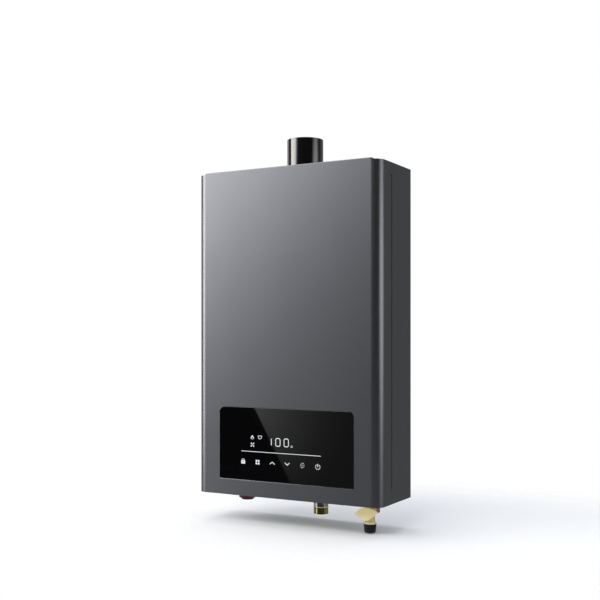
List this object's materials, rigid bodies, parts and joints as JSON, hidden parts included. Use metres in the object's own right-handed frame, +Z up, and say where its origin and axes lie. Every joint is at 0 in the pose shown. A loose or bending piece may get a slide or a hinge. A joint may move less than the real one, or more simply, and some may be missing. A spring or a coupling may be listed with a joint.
{
  "type": "tankless water heater",
  "caption": "Slim wall-hung gas water heater: folded steel body with a black glass panel, a round flue collar on top and gas and water connections below.",
  "frame": {"origin": "centre of the four wall-screw holes, on the wall plane", "axes": "+Z up, +X to the right seen from the front, +Y towards the wall; the front faces -Y"},
  "size_m": [0.336, 0.1226, 0.6332],
  "materials": {
    "graphite_paint": "satin",
    "zinc_steel": "satin",
    "stainless": "brushed",
    "black_gloss": "gloss",
    "black_glass": "polished",
    "rubber": "matte",
    "black_plastic": "satin",
    "circuit_board": "satin",
    "motor_paint": "satin",
    "brass": "satin",
    "chrome": "polished",
    "copper": "satin",
    "red_plastic": "satin",
    "dark_steel": "satin",
    "cast_aluminium": "cast",
    "ceramic": "matte",
    "bakelite": "satin",
    "white_plastic": "satin"
  },
  "bodies": {
    "heater": {"rear_case": "graphite_paint", "top_panel": "graphite_paint", "bottom_panel": "graphite_paint", "wall_bracket_upper": "zinc_steel", "wall_bracket_lower": "zinc_steel", "fume_hood": "zinc_steel", "fan_volute": "zinc_steel", "motor_plate": "zinc_steel", "engine_brackets": "zinc_steel", "control_bracket": "zinc_steel", "burner_box": "stainless", "burner_blades": "stainless", "damper_pin": "stainless", "electrode_wires": "stainless", "flue_screws": "stainless", "flue_collar": "black_gloss", "flue_gasket": "rubber", "control_box": "black_plastic", "igniter_module": "black_plastic", "cable_gland": "black_plastic", "gas_solenoids": "black_plastic", "control_board": "circuit_board", "fan_motor": "motor_paint", "hot_outlet_tail": "brass", "drain_body": "brass", "flow_sensor_body": "brass", "gas_nozzles": "brass", "union_nuts": "brass", "lock_nuts": "brass", "fan_bearing": "brass", "hot_outlet_sleeve": "chrome", "cold_inlet": "chrome", "exchanger_shell": "copper", "exchanger_fins": "copper", "exchanger_tubes": "copper", "chamber_coil": "copper", "cold_pipe": "copper", "hot_pipe": "copper", "gas_pipe": "copper", "gas_collar": "red_plastic", "gas_inlet": "dark_steel", "gas_valve_body": "cast_aluminium", "gas_manifold": "cast_aluminium", "electrode_ceramics": "ceramic", "thermal_cutout": "bakelite"},
    "cover": {"front_cover": "graphite_paint", "cover_screws": "stainless", "control_glass": "black_glass", "glass_frame": "black_plastic", "display_housing": "black_plastic", "display_board": "circuit_board"},
    "damper_front": {"damper_flap_front": "stainless"},
    "damper_rear": {"damper_flap_rear": "stainless"},
    "fan": {"fan_impeller": "stainless", "motor_shaft": "stainless"},
    "plungers": {"gas_plungers": "stainless"},
    "flow_wheel": {"flow_rotor": "white_plastic"},
    "drain_valve": {"drain_handle": "brass", "drain_ball": "chrome"},
    "drain_plug": {"drain_cap": "black_plastic"}
  },
  "joints": [
    {"name": "cover_pull", "type": "slide", "parent": "heater", "child": "cover", "axis": [0, -1, 0], "range_m": [0, 0.2]},
    {"name": "damper_front_swing", "type": "hinge", "parent": "heater", "child": "damper_front", "pos_m": [0, -0.052, 0.287], "axis": [-1, 0, 0], "range_deg": [0, 75]},
    {"name": "damper_rear_swing", "type": "hinge", "parent": "heater", "child": "damper_rear", "pos_m": [0, -0.052, 0.287], "axis": [1, 0, 0], "range_deg": [0, 75]},
    {"name": "fan_spin", "type": "hinge", "parent": "heater", "child": "fan", "pos_m": [-0.034, -0.052, 0.1888], "axis": [0, 1, 0], "continuous": true},
    {"name": "plunger_lift", "type": "slide", "parent": "heater", "child": "plungers", "axis": [0, -1, 0], "range_m": [0, 0.003], "stiffness_N_per_m": 200, "springref_m": -0.001},
    {"name": "flow_spin", "type": "hinge", "parent": "heater", "child": "flow_wheel", "pos_m": [0.123, -0.053, -0.22], "axis": [0, 0, 1], "continuous": true},
    {"name": "drain_turn", "type": "hinge", "parent": "heater", "child": "drain_valve", "pos_m": [0.128, -0.07325, -0.287], "axis": [0, 1, 0], "range_deg": [0, 90]},
    {"name": "drain_cap_pull", "type": "slide", "parent": "heater", "child": "drain_plug", "axis": [0, 0, -1], "range_m": [0, 0.025]}
  ]
}
